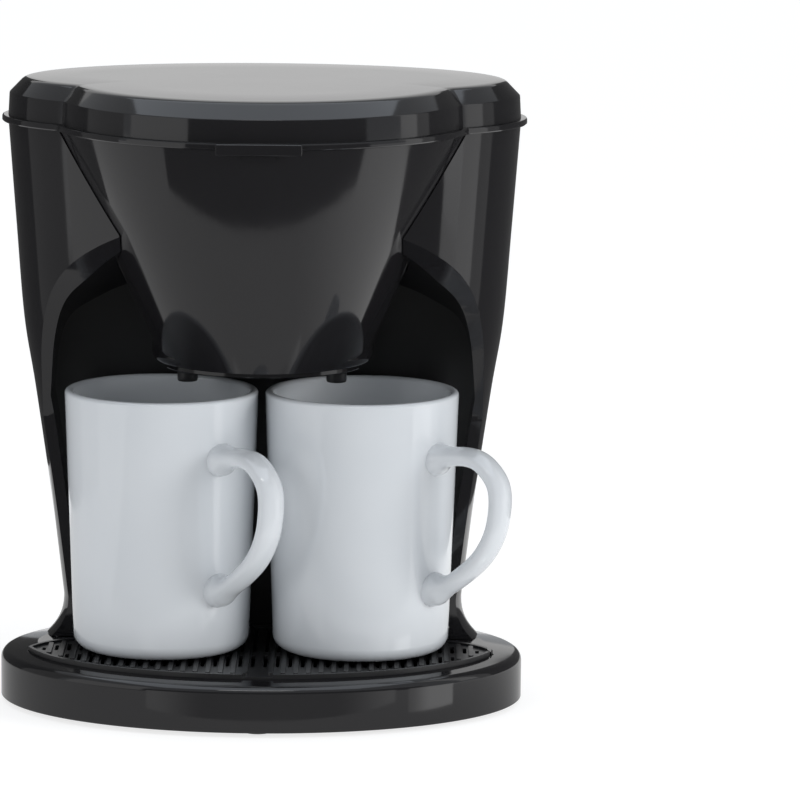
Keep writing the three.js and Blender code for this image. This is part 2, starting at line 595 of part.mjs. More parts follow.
const glandInner = glandY - gland.length;
place('cord_gland', joined(
  alongRear(gland.radius, glandInner, glandY),
  alongRear(gland.radius + gland.collar, glandY, glandY + gland.collar),
  alongRear(gland.radius + gland.collar, glandInner, glandInner + gland.collar),
).subtract(alongRear(gland.bore, glandInner - 1, glandY + 10)), 'rubber');

const terminalFront = bayBack + terminal.behindBay;
place('terminal_block', block(terminal.x - terminal.width / 2, terminal.x + terminal.width / 2,
  terminalFront, terminalFront + terminal.depth, bodyFoot, bodyFoot + terminal.height), 'phenolic');

// ---------------------------------------------------------------- mugs

const mugFoot = mug.radius - mug.taper;
function mugForm(x, turn) {
  const ringRadius = mugFoot - mug.corner - mug.ring;
  const cornerPoints = Array.from({ length: 4 }, (_, i) => {
    const angle = (i / 3) * (Math.PI / 2);
    return [mugFoot - mug.corner * (1 - Math.sin(angle)), mugFloor + mug.corner * (1 - Math.cos(angle))];
  });
  const inside = mug.radius - mug.wall;
  const insideFoot = mugFoot - mug.wall;
  const cup = turned([
    [0, mugFloor + mug.hollow], [ringRadius - 1, mugFloor + mug.hollow], [ringRadius, mugFloor],
    ...cornerPoints, [mug.radius, mugRim - mug.lip], [mug.radius - mug.lip, mugRim],
    [inside + 1, mugRim], [inside, mugRim - mug.lip], [insideFoot, mugFloor + mug.floor + 5],
    [insideFoot - 5, mugFloor + mug.floor], [0, mugFloor + mug.floor],
  ], 0, 0, 36);
  const reach = mug.radius + handle.reach - handle.thick / 2;
  const at = (share) => mugFloor + share * mug.height;
  const grip = rod([
    [mug.radius - 3, 0, at(0.775)], [mug.radius + 9, 0, at(0.79)], [reach - 10, 0, at(0.77)],
    [reach, 0, at(0.64)], [reach - 3, 0, at(0.48)], [mug.radius + 14, 0, at(0.31)],
    [mug.radius - 5, 0, at(0.235)],
  ], handle.thick / 2, 16, { wide: handle.wide / 2, sides: 10 });
  const bore = turned([
    [0, mugFloor + mug.floor], [insideFoot, mugFloor + mug.floor], [inside, mugRim], [0, mugRim],
  ], 0, 0, 36);
  return joined(cup, grip.subtract(bore)).rotate([0, 0, -turn]).translate([x, mug.y, 0]);
}
place('mug_left', mugForm(-mugX, handle.leftTurn), 'ceramic');
place('mug_right', mugForm(mugX, handle.rightTurn), 'ceramic');

export default machine;
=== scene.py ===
from math import atan2, cos, pi, radians, sin, sqrt

import bmesh
import bpy
from mathutils import Matrix, Vector


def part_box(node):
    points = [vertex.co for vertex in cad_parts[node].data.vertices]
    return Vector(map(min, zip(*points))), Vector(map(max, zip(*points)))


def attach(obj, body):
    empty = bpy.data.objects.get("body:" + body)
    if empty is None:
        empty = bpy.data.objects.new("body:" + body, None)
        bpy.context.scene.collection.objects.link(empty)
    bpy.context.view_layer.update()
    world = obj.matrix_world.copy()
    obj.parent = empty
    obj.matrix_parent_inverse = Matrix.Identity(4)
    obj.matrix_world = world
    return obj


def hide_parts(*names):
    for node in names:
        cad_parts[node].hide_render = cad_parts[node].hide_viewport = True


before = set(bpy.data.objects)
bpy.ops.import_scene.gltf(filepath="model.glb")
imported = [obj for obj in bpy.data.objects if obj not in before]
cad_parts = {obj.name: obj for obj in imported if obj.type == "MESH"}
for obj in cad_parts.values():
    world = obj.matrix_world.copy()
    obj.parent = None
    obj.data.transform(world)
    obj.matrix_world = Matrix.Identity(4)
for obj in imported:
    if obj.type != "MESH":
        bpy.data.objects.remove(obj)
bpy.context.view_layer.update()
scene = bpy.context.scene
mm = 0.001


# ------------------------------------------------------------------------------------------------ view
# A long lens 2.3 m in front of the machine looks down at it from a little above. The long distance
# keeps the machine's upright lines nearly parallel.
eye = Vector((53.46, -2302.0, 508.43)) * mm
heading, tilt, roll = -0.1072, -9.3835, 0.4896

camera = bpy.data.objects.new("camera", bpy.data.cameras.new("camera"))
camera.data.lens = 249.66
camera.matrix_world = (
    Matrix.Translation(eye)
    @ Matrix.Rotation(radians(heading), 4, "Z")
    @ Matrix.Rotation(radians(90 + tilt), 4, "X")
    @ Matrix.Rotation(radians(roll), 4, "Z")
)
scene.collection.objects.link(camera)
scene.camera = camera
scene.view_settings.view_transform = "Standard"


# ----------------------------------------------------------------------------------------------- studio
# A white light table under soft white light from all round. White and dark cards stand about the
# machine and lie before it, because a polished black case shows little but what it reflects.
def lamp_material(name, colour, strength):
    """A plain surface that gives light."""
    material = bpy.data.materials.new(name)
    material.use_nodes = True
    nodes, links = material.node_tree.nodes, material.node_tree.links
    nodes.remove(nodes["Principled BSDF"])
    glow = nodes.new("ShaderNodeEmission")
    glow.inputs["Color"].default_value = (*colour, 1)
    glow.inputs["Strength"].default_value = strength
    links.new(glow.outputs["Emission"], nodes["Material Output"].inputs["Surface"])
    return material


def card(name, corners, strength=1, colour=(1, 1, 1), fade=None):
    """A flat card through these corners, which only reflections see. A fade says between which two
    places along X the card's strength changes, and how strong it is at each."""
    bm = bmesh.new()
    bm.faces.new([bm.verts.new(corner) for corner in corners])
    mesh = bpy.data.meshes.new(name)
    bm.to_mesh(mesh)
    bm.free()
    material = lamp_material(name, colour, strength)
    mesh.materials.append(material)
    if fade:
        nodes, links = material.node_tree.nodes, material.node_tree.links
        spot = nodes.new("ShaderNodeTexCoord")
        parts = nodes.new("ShaderNodeSeparateXYZ")
        ramp = nodes.new("ShaderNodeMapRange")
        ramp.interpolation_type = "SMOOTHSTEP"
        for side, value in zip(("From Min", "From Max", "To Min", "To Max"), fade):
            ramp.inputs[side].default_value = value
        links.new(spot.outputs["Object"], parts.inputs["Vector"])
        links.new(parts.outputs["X"], ramp.inputs["Value"])
        links.new(ramp.outputs["Result"], nodes["Emission"].inputs["Strength"])
    obj = bpy.data.objects.new(name, mesh)
    scene.collection.objects.link(obj)
    obj.visible_camera = obj.visible_diffuse = obj.visible_shadow = obj.visible_transmission = False
    return obj


def flat(x0, x1, y0, y1, z):
    """The corners of a level card."""
    return [(x0, y0, z), (x1, y0, z), (x1, y1, z), (x0, y1, z)]


def upright(x0, y0, x1, y1, z0, z1):
    """The corners of a standing card, whose foot runs between two places on the table."""
    return [(x0, y0, z0), (x1, y1, z0), (x1, y1, z1), (x0, y0, z1)]


world = bpy.data.worlds.new("studio")
world.use_nodes = True
scene.world = world
room = world.node_tree.nodes
joins = world.node_tree.links
sky = room["Background"]
sky.inputs["Color"].default_value = (0.93, 0.96, 1.0, 1)
sky.inputs["Strength"].default_value = 0.52
backdrop = room.new("ShaderNodeBackground")
backdrop.inputs["Color"].default_value = (1, 1, 1, 1)
path_kind = room.new("ShaderNodeLightPath")
chosen = room.new("ShaderNodeMixShader")
joins.new(path_kind.outputs["Is Camera Ray"], chosen.inputs["Fac"])
joins.new(sky.outputs["Background"], chosen.inputs[1])
joins.new(backdrop.outputs["Background"], chosen.inputs[2])
joins.new(chosen.outputs["Shader"], room["World Output"].inputs["Surface"])

floor_mesh = bpy.data.meshes.new("floor")
bm = bmesh.new()
bmesh.ops.create_grid(bm, x_segments=1, y_segments=1, size=8.0)
bm.to_mesh(floor_mesh)
bm.free()
floor = bpy.data.objects.new("floor", floor_mesh)
scene.collection.objects.link(floor)
floor_material = lamp_material("light_table", (1, 1, 1), 0.75)
table_nodes, table_links = floor_material.node_tree.nodes, floor_material.node_tree.links
paint = table_nodes.new("ShaderNodeBsdfDiffuse")
paint.inputs["Color"].default_value = (0.5, 0.5, 0.5, 1)
both = table_nodes.new("ShaderNodeAddShader")
table_links.new(paint.outputs["BSDF"], both.inputs[0])
table_links.new(table_nodes["Emission"].outputs["Emission"], both.inputs[1])
table_links.new(both.outputs["Shader"], table_nodes["Material Output"].inputs["Surface"])
floor_mesh.materials.append(floor_material)

flag_top = 0.45
card("softbox_above", flat(-0.7, 0.7, -0.9, 0.5, 1.1), 1.9, (0.86, 0.92, 1.0))
card("softbox_left", upright(-0.73, -0.22, -0.5, -0.62, 0, 0.5), 0.95)
card("flag_left", upright(-0.48, -0.12, -0.46, 0.12, 0, flag_top), 0.3)
card("flag_rear_left", upright(-0.46, 0.12, -0.16, 0.54, 0, flag_top), 0.08)
card("strip_right", upright(0.35, -0.10, 0.35, -0.03, 0.05, flag_top), 1.3)
card("flag_right", upright(0.36, -0.03, 0.36, 0.03, 0, flag_top), 0.5)
card("flag_rear_right", upright(0.36, 0.03, 0.16, 0.50, 0, flag_top), 0.12)
card("white_behind", upright(-1.6, 2.0, 1.6, 2.0, 0.3, 1.6), 0.82)
card("dark_front", upright(-0.75, -0.9, 0.95, -0.6, 0, 0.32), 0.1)
card("strip_front", upright(-0.30, -1.0, 0.22, -1.0, 1.05, 1.17), 9.0)

low_y, low_top = -0.11, 0.021
card("flag_low_left", upright(-0.075, low_y, 0.01, low_y, 0, low_top), fade=(-0.07, -0.03, 0.9, 0.35))
card("flag_low_right", upright(0.01, low_y, 0.10, low_y, 0, low_top), fade=(0.045, 0.10, 0.35, 1.1))
card("strip_low", upright(0.090, -0.088, 0.122, -0.066, 0, 0.02), fade=(0.09, 0.105, 1.0, 2.2))

near_table_z, dark_table_z = 0.0006, 0.001
dark_edge, dark_bow, dark_step = -0.208, 1.45, 0.03
dark_places = [x * dark_step for x in range(8, -9, -1)]
dark_reach = [(x, dark_edge + dark_bow * x**2) for x in dark_places]
dark_reach += [(-0.5, -0.62), (-3.6, -6.4), (3.8, -6.4), (1.8, -0.9)]
card("near_table", flat(-0.9, 0.9, -0.9, 0.35, near_table_z), fade=(0.08, 0.30, 0.65, 1.15))
card("dark_table", [(x, y, dark_table_z) for x, y in dark_reach], 0.1)

lamp_aim, lamp_size = Vector((0.0, 0.0, 0.12)), 0.6
for name, place, power in (("key", (1.4, -0.6, 0.5), 9.0), ("fill", (-1.0, -1.4, 0.5), 3.0)):
    lamp = bpy.data.lights.new(name, "AREA")
    lamp.size = lamp_size
    lamp.energy = power
    lamp_object = bpy.data.objects.new(name, lamp)
    lamp_object.location = place
    lamp_object.rotation_euler = (Vector(place) - lamp_aim).to_track_quat("Z", "Y").to_euler()
    lamp_object.visible_glossy = False
    scene.collection.objects.link(lamp_object)


# ------------------------------------------------------------------------------------------- base housing
# The base is one oval ABS moulding with a polished black face. Its rim is rounded and its top slopes up
# to the recess that takes the drip tray and the grille. It is open underneath.
def stack(count, levels, place):
    """One ring of corners for each level, joined by walls and closed at both ends."""
    bm = bmesh.new()
    seat = bm.verts.layers.int.new("seat")
    bmesh.ops.create_circle(bm, cap_ends=True, segments=count, radius=1)
    for number, vert in enumerate(bm.verts):
        vert[seat] = number
    top = bm.faces[:][0]
    for number, level in enumerate(levels):
        if number:
            grown = bmesh.ops.extrude_face_region(bm, geom=[top])["geom"]
            if number > 1:
                bmesh.ops.delete(bm, geom=[top], context="FACES_ONLY")
            top = next(item for item in grown if isinstance(item, bmesh.types.BMFace))
        for vert in top.verts:
            vert.co = place(vert[seat], level)
    return bm


def oval(count, centre, half, front=None, back=None):
    """Places on an oval ring. A level is its height and how far the ring is drawn in."""
    front = front or half
    back = back or front

    def place(seat, level):
        height, inset = level
        turn = 2 * pi * seat / count
        depth = front if sin(turn) < 0 else back
        x = centre[0] + (half - inset) * cos(turn)
        return Vector((x, centre[1] + (depth - inset) * sin(turn), height))

    return place


def solid(bm, name):
    """An object in the scene from a closed bmesh."""
    bmesh.ops.recalc_face_normals(bm, faces=bm.faces[:])
    mesh = bpy.data.meshes.new(name)
    bm.to_mesh(mesh)
    bm.free()
    obj = bpy.data.objects.new(name, mesh)
    scene.collection.objects.link(obj)
    return obj


def settle(piece):
    """Applies the piece's modifiers to its mesh."""
    graph = bpy.context.evaluated_depsgraph_get()
    mesh = bpy.data.meshes.new_from_object(piece.evaluated_get(graph))
    piece.modifiers.clear()
    piece.data = mesh


def work(piece, operation, *tools):
    """Cuts the tools from the piece, joins them to it or keeps what they share, and clears them away."""
    for tool in tools:
        step = piece.modifiers.new(operation, "BOOLEAN")
        step.operation = operation
        step.solver = "EXACT"
        step.object = tool
        settle(piece)
        bpy.data.objects.remove(tool)
    return piece


def brick(x0, x1, y0, y1, z0, z1, rounding=0.0):
    """A block between these planes, with its edges rounded."""
    bm = bmesh.new()
    bmesh.ops.create_cube(bm, size=1)
    bmesh.ops.scale(bm, vec=(x1 - x0, y1 - y0, z1 - z0), verts=bm.verts)
    bmesh.ops.translate(bm, vec=((x0 + x1) / 2, (y0 + y1) / 2, (z0 + z1) / 2), verts=bm.verts)
    if rounding:
        bmesh.ops.bevel(
            bm, geom=bm.edges[:], offset=rounding, segments=3, profile=0.5, affect="EDGES", material=-1
        )
    return solid(bm, "brick")


def dress(piece, name, material, crease=35, rounding=0.0, steps=2):
    """Names a piece, gives it its material, rounds its edges and shades it smooth between creases."""
    piece.name = piece.data.name = name
    piece.data.materials.clear()
    piece.data.materials.append(material)
    if rounding:
        bm = bmesh.new()
        bm.from_mesh(piece.data)
        bmesh.ops.remove_doubles(bm, verts=bm.verts, dist=rounding / 8)
        bmesh.ops.dissolve_degenerate(bm, edges=bm.edges, dist=rounding / 8)
        bm.to_mesh(piece.data)
        bm.free()
        edge = piece.modifiers.new("rounding", "BEVEL")
        edge.width = rounding
        edge.segments = steps
        edge.limit_method = "ANGLE"
        edge.angle_limit = radians(crease)
        edge.use_clamp_overlap = True
        settle(piece)
    piece.data.shade_smooth()
    piece.data.set_sharp_from_angle(angle=radians(crease))
    even = piece.modifiers.new("even", "WEIGHTED_NORMAL")
    even.keep_sharp = True
    settle(piece)
    return piece


def plastic(name, colour, roughness, grain, depth, clouds=22.0):
    """Moulded plastic: its polish varies in broad clouds, over a fine grain that the mould left."""
    material = bpy.data.materials.new(name)
    material.use_nodes = True
    nodes, links = material.node_tree.nodes, material.node_tree.links
    shader = nodes["Principled BSDF"]
    spot = nodes.new("ShaderNodeTexCoord")
    shader.inputs["IOR"].default_value = 1.5
    cloud = nodes.new("ShaderNodeTexNoise")
    cloud.inputs["Scale"].default_value = clouds
    cloud.inputs["Detail"].default_value = 4
    polish = nodes.new("ShaderNodeMapRange")
    polish.inputs["From Min"].default_value = 0.3
    polish.inputs["From Max"].default_value = 0.7
    polish.inputs["To Min"].default_value, polish.inputs["To Max"].default_value = roughness
    tint = nodes.new("ShaderNodeMixRGB")
    tint.inputs["Color1"].default_value = (*colour, 1)
    tint.inputs["Color2"].default_value = (*[1.25 * part for part in colour], 1)
    fine = nodes.new("ShaderNodeTexNoise")
    fine.inputs["Scale"].default_value = grain
    fine.inputs["Detail"].default_value = 2
    bump = nodes.new("ShaderNodeBump")
    bump.inputs["Strength"].default_value = 1.0
    bump.inputs["Distance"].default_value = depth
    links.new(spot.outputs["Object"], cloud.inputs["Vector"])
    links.new(spot.outputs["Object"], fine.inputs["Vector"])
    links.new(cloud.outputs["Fac"], polish.inputs["Value"])
    links.new(polish.outputs["Result"], shader.inputs["Roughness"])
    links.new(cloud.outputs["Fac"], tint.inputs["Fac"])
    links.new(tint.outputs["Color"], shader.inputs["Base Color"])
    links.new(fine.outputs["Fac"], bump.inputs["Height"])
    links.new(bump.outputs["Normal"], shader.inputs["Normal"])
    return material


gloss_black = plastic("gloss_black", (0.0095, 0.0092, 0.0102), (0.05, 0.1), 60.0, 0.02 * mm)

def quarter_turn(steps):
    """The angles of a quarter round, in even steps."""
    return [step / steps * pi / 2 for step in range(steps + 1)]


base_low, base_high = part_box("base_housing")
base_centre = (0, (base_low.y + base_high.y) / 2)
base_half = base_high.x
base_depth = (base_high.y - base_low.y) / 2
base_wall, base_corners, base_chamfer = 2.5 * mm, 256, 0.4 * mm
rim_height, rim_round, rim_in = 21.6 * mm, 3.7 * mm, 3.4 * mm
deck_in, deck_lead, deck_dip = 17 * mm, 2 * mm, 0.3 * mm
well_above = 40 * mm

base_levels = [(rim_height - base_wall, base_wall + 3 * mm), (rim_height - 5 * mm, base_wall)]
base_levels += [(base_low.z, base_wall), (base_low.z, base_chamfer), (base_low.z + base_chamfer, 0)]
for turn in quarter_turn(8):
    base_levels.append((rim_height - rim_round * (1 - sin(turn)), rim_in * (1 - cos(turn))))
base_levels += [(base_high.z - deck_dip, deck_in - deck_lead), (base_high.z, deck_in)]
base_oval = oval(base_corners, base_centre, base_half, base_depth)
base = solid(stack(base_corners, base_levels, base_oval), "base")

grille_low, grille_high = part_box("drip_grille")
grille_margin, grille_tip_margin = 10 * mm, 12.4 * mm
grille_shoulder, grille_side, grille_rear = 6 * mm, 78 * mm, 76 * mm
side_back = 4 * mm
recess_floor, recess_gap = 9 * mm, 0.5 * mm


def grille_outline(inset):
    """The drip grille's plan: an arc along the base's rim, a rounded tip each side, a narrower rear."""
    width, depth = base_half - grille_margin - inset, base_depth - grille_margin - inset
    tip = base_half - grille_tip_margin - inset
    reach = atan2(tip, sqrt(width**2 - tip**2))
    arc = [-reach + 2 * reach * step / 120 for step in range(121)]
    points = [Vector((width * sin(turn), base_centre[1] - depth * cos(turn))) for turn in arc]
    start, shoulder = points[-1], Vector((tip - grille_shoulder, base_centre[1] - inset))
    side = Vector((grille_side - inset, base_centre[1] + side_back - inset))
    bend = [step / 12 for step in range(1, 13)]
    right = [start * (1 - t) ** 2 + shoulder * 2 * t * (1 - t) + side * t**2 for t in bend]
    right.append(Vector((grille_rear - inset, grille_high.y - inset)))
    return points + right + [Vector((-x, y)) for x, y in reversed(right)]


grille_corners = len(grille_outline(0))


def on_grille(seat, level):
    """A place on the grille's outline. A level is its height and how far the outline is drawn in."""
    height, inset = level
    return grille_outline(inset)[seat].to_3d() + Vector((0, 0, height))


recess_levels = [(recess_floor, -recess_gap), (well_above, -recess_gap)]
recess = solid(stack(grille_corners, recess_levels, on_grille), "recess")
work(base, "DIFFERENCE", recess)
dress(base, "base_housing_shell", gloss_black, rounding=0.5 * mm)
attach(base, "machine")
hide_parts("base_housing")


# ------------------------------------------------------------------------------------- feet, plate, screws
# Five rubber feet are pushed through a flat plastic plate that closes the base from below. Four steel
# screws hold the plate.
rubber = plastic("foot_rubber", (0.018, 0.018, 0.018), (0.6, 0.8), 900.0, 0.05 * mm)
satin_black = plastic("satin_black", (0.011, 0.011, 0.012), (0.28, 0.42), 1400.0, 0.03 * mm)


def turned(name, centre, profile, count=64):
    """A turned piece. The profile lists a radius and a height for each ring, from one end to the other."""
    spot = oval(count, centre, 1.0)
    return solid(stack(count, [(height, 1.0 - radius) for radius, height in profile], spot), name)


def metal(name, colour, roughness, grain, along):
    """Bare metal with fine draw lines along one axis."""
    material = bpy.data.materials.new(name)
    material.use_nodes = True
    nodes, links = material.node_tree.nodes, material.node_tree.links
    shader = nodes["Principled BSDF"]
    shader.inputs["Metallic"].default_value = 1.0
    shader.inputs["Base Color"].default_value = (*colour, 1)
    spot = nodes.new("ShaderNodeTexCoord")
    stretch = nodes.new("ShaderNodeMapping")
    stretch.inputs["Scale"].default_value = along
    lines = nodes.new("ShaderNodeTexNoise")
    lines.inputs["Scale"].default_value = grain
    polish = nodes.new("ShaderNodeMapRange")
    polish.inputs["To Min"].default_value, polish.inputs["To Max"].default_value = roughness
    links.new(spot.outputs["Object"], stretch.inputs["Vector"])
    links.new(stretch.outputs["Vector"], lines.inputs["Vector"])
    links.new(lines.outputs["Fac"], polish.inputs["Value"])
    links.new(polish.outputs["Result"], shader.inputs["Roughness"])
    bump = nodes.new("ShaderNodeBump")
    bump.inputs["Strength"].default_value = 0.4
    bump.inputs["Distance"].default_value = 0.02 * mm
    links.new(lines.outputs["Fac"], bump.inputs["Height"])
    links.new(bump.outputs["Normal"], shader.inputs["Normal"])
    return material


steel = metal("zinc_steel", (0.55, 0.55, 0.56), (0.22, 0.4), 900.0, (1, 1, 0.2))

foot_dimple, foot_stem, foot_barb, barb_low = 1.5 * mm, 2.6 * mm, 3.4 * mm, 1.4 * mm
foot_under = base_low.z - 0.35 * mm

for number in range(1, 6):
    node = f"foot_{number}"
    low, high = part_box(node)
    radius = (high.x - low.x) / 2
    foot = turned(
        "foot", ((low.x + high.x) / 2, (low.y + high.y) / 2),
        [
            (foot_dimple, 0.3 * mm), (foot_dimple + mm, 0), (radius - 1.1 * mm, 0),
            (radius - 0.4 * mm, 0.25 * mm), (radius - 0.1 * mm, 0.8 * mm), (radius, foot_under),
            (foot_stem, foot_under), (foot_stem, high.z - barb_low),
            (foot_barb, high.z - barb_low + 0.1 * mm), (foot_stem, high.z),
        ],
        48,
    )
    dress(foot, node + "_rubber", rubber)
    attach(foot, "machine")
    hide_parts(node)


def coat(node, material):
    """Gives a piece that keeps its own shape the finish of what it is made of."""
    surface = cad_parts[node].data.materials
    surface.clear()
    surface.append(material)


coat("base_plate", satin_black)
for number in range(1, 5):
    coat(f"base_screw_{number}", steel)


# ----------------------------------------------------------------------------------- drip tray and grille
# The grille is a satin black plate with raised ribs for the mugs and narrow slots between them. It drops
# into the base over a shallow tray, and a notch in its front edge lets a finger lift it out.
border, rib_wide, rib_pitch, rib_rise, rib_gap = 1.5 * mm, 2.0 * mm, 5.2 * mm, 1.0 * mm, 1.6 * mm
slot_wide, slot_margin = 1.6 * mm, 4 * mm
front_row, back_row = (-50 * mm, -27 * mm), -20 * mm
ribs_each_side = 18
notch_radius, notch_ahead = 7 * mm, 2.5 * mm
pocket_floor = grille_high.z - rib_rise


def span_at(x, outline):
    """Where a line along the machine at x enters and leaves an outline."""
    hits = []
    for one, two in zip(outline, outline[1:] + outline[:1]):
        if (one.x - x) * (two.x - x) < 0:
            hits.append(one.y + (two.y - one.y) * (x - one.x) / (two.x - one.x))
    return (min(hits), max(hits)) if hits else (0, 0)


def bars(name, places, wide, z0, z1):
    """A row of bars with round ends. Each place is an x with where its bar starts and ends."""
    bm = bmesh.new()
    for x, start, end in places:
        if end - start < 2 * wide:
            continue
        ring = bmesh.ops.create_circle(bm, cap_ends=True, segments=20, radius=wide / 2)
        for vert in ring["verts"]:
            vert.co.y += start + wide / 2 if vert.co.y < 0 else end - wide / 2
            vert.co += Vector((x, 0, z0))
    raised = bmesh.ops.extrude_face_region(bm, geom=bm.faces[:])["geom"]
    lift = [item for item in raised if isinstance(item, bmesh.types.BMVert)]
    bmesh.ops.translate(bm, vec=(0, 0, z1 - z0), verts=lift)
    return solid(bm, name)


grille = solid(stack(grille_corners, [(grille_low.z, 0), (grille_high.z, 0)], on_grille), "grille")
pocket_levels = [(pocket_floor, border), (well_above, border)]
pocket = solid(stack(grille_corners, pocket_levels, on_grille), "pocket")
ribs, slots = [], []
for number in range(-ribs_each_side, ribs_each_side + 1):
    x = number * rib_pitch
    ribs.append((x, *span_at(x, grille_outline(border + rib_gap))))
    x += rib_pitch / 2
    front, back = span_at(x, grille_outline(border + slot_margin))
    slots += [(x, max(front, front_row[0]), front_row[1]), (x, back_row, back)]
notch_profile = [(notch_radius, pocket_floor), (notch_radius + 0.5 * mm, well_above)]
notch = turned("notch", (0, grille_low.y - notch_ahead), notch_profile, 48)
work(grille, "DIFFERENCE", pocket)
work(grille, "UNION", bars("ribs", ribs, rib_wide, pocket_floor - 0.5 * mm, grille_high.z))
work(grille, "DIFFERENCE", bars("slots", slots, slot_wide, grille_low.z - mm, well_above), notch)
dress(grille, "drip_grille_plate", satin_black, rounding=0.25 * mm)
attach(grille, "machine")
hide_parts("drip_grille")

coat("drip_tray", satin_black)


# ---------------------------------------------------------------------------------------------- body shell
# One tall ABS moulding with a polished face makes the side walls, the rear and the housing round the
# tank. It flares out at its foot, has a slim waist and is widest at the top. It stands on the base.
body_low, body_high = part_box("body_shell")
body_half, body_y, body_front, body_back = body_high.x, 18 * mm, 64 * mm, 67.4 * mm
body_corners, wall = 240, 2.6 * mm
flare, flare_height, flare_bend = 7 * mm, 17 * mm, 2.4
flare_top = body_low.z + flare_height
waist = 84.6 * mm


def through(points, steps):
    """A smooth line through the points, with the given number of steps between each two."""
    path = [Vector(point) for point in points]
    path = [2 * path[0] - path[1], *path, 2 * path[-1] - path[-2]]
    line = []
    for a, b, c, d in zip(path, path[1:], path[2:], path[3:]):
        for step in range(steps):
            t = step / steps
            square, cube = 2 * a - 5 * b + 4 * c - d, 3 * b - a - 3 * c + d
            line.append((b * 2 + (c - a) * t + square * t**2 + cube * t**3) / 2)
    return line + [path[-2]]


flank = through(
    [
        (waist, flare_top), (89.3 * mm, 80 * mm), (96.5 * mm, 130.4 * mm), (101.2 * mm, 160 * mm),
        (104.4 * mm, 200 * mm), (body_half, body_high.z),
    ],
    12,
)


def half_width(z):
    """Half the body's width at each height."""
    if z <= flare_top:
        return waist + flare * max(0, (flare_top - z) / flare_height) ** flare_bend
    for low, high in zip(flank, flank[1:]):
        if z <= high.y:
            return low.x + (high.x - low.x) * (z - low.y) / (high.y - low.y)
    return body_half


def on_body(seat, level):
    """A place on the body's outside. A level is its height and how far the ring is drawn in."""
    height, inset = level
    turn = 2 * pi * seat / body_corners
    share = half_width(height) / body_half
    depth = share * (body_front if sin(turn) < 0 else body_back)
    x = (share * body_half - inset) * cos(turn)
    return Vector((x, body_y + (depth - inset) * sin(turn), height))


def heights(low, high, step):
    """Even steps from low to high, close to the given step."""
    count = max(1, round((high - low) / step))
    return [low + (high - low) * number / count for number in range(count + 1)]


cone_y, cone_top, cone_rear = 2 * mm, 87 * mm, 29 * mm
cone_slope, cone_corners = 0.454, 192
room_low, room_high = 120 * mm, 246 * mm


def cone_radius(z):
    """The brewing cone's radius at each height."""
    return cone_top - cone_slope * (body_high.z - z)


def cone_tool(extra, rear, z0=room_low, z1=room_high):
    """A cone as wide as the brewing cone and a little more, flat at the rear."""
    tool = stack(
        cone_corners, [(z, -extra) for z in (z0, z1)],
        lambda seat, level: oval(cone_corners, (0, cone_y), cone_radius(level[0]))(seat, level),
    )
    shear = bmesh.ops.bisect_plane(
        tool, geom=tool.verts[:] + tool.edges[:] + tool.faces[:], plane_co=(0, rear, 0),
        plane_no=(0, 1, 0), clear_outer=True,
    )
    rim = [item for item in shear["geom_cut"] if isinstance(item, bmesh.types.BMEdge)]
    bmesh.ops.holes_fill(tool, edges=rim)
    return solid(tool, "cone_tool")


bay_front, bay_middle, bay_rear = -94 * mm, -30 * mm, 34 * mm
bay_low, bay_inset = 21 * mm, 7 * mm
jamb_low, jamb_high, jamb_out = 45 * mm, 122 * mm, 2 * mm
spring, bay_rise, ceiling_low, ceiling_fall = 158 * mm, 47 * mm, 120 * mm, 0.31


def bay_tool(extra):
    """The mug bay: an arch seen from the front, whose ceiling comes down towards the rear."""
    def side(z):
        return half_width(z) - bay_inset + extra

    arch = through(
        [
            (side(128 * mm) + 0.2 * mm, 130 * mm), (87.2 * mm + extra, spring),
            (82.6 * mm + extra, 175 * mm), (73 * mm + extra, 185 * mm + extra),
            (58 * mm, 195 * mm + extra), (34 * mm, 202 * mm + extra), (0, spring + bay_rise + extra),
        ],
        8,
    )
    low = [(side(jamb_low) + jamb_out, bay_low)]
    low += [(side(z), z) for z in heights(jamb_low, jamb_high, 8 * mm)]
    right = [Vector(point) for point in low] + arch
    ring = right + [Vector((-x, z)) for x, z in reversed(right[:-1])]
    rear = bay_rear + extra

    def place(seat, y):
        x, z = ring[seat]
        depth = max(0, (y - bay_middle) / (rear - bay_middle))
        over = max(0, z - ceiling_low)
        return Vector((x, y, z - over * depth * ceiling_fall))

    return solid(stack(len(ring), [bay_front, *heights(bay_middle, rear, 8 * mm)], place), "bay_tool")


wall_face, wall_foot, lean_high = 6 * mm, 20 * mm, 226 * mm
far_ahead, far_aside = -130 * mm, 150 * mm


def lean_tool(extra):
    """What lies ahead of the side walls: upright at the bottom, then leaning forward to the cone."""
    face = wall_face + extra
    line = through(
        [
            (face, 118 * mm), (face - 10 * mm, 150 * mm), (face - 20 * mm, 176 * mm),
            (face - 35 * mm, 196 * mm), (face - 66 * mm, lean_high),
        ],
        8,
    )
    ring = [Vector((far_ahead, wall_foot)), Vector((face, wall_foot)), *line]
    ring.append(Vector((far_ahead, lean_high)))
    sweep = stack(len(ring), [-far_aside, far_aside], lambda seat, x: Vector((x, *ring[seat])))
    return solid(sweep, "lean_tool")


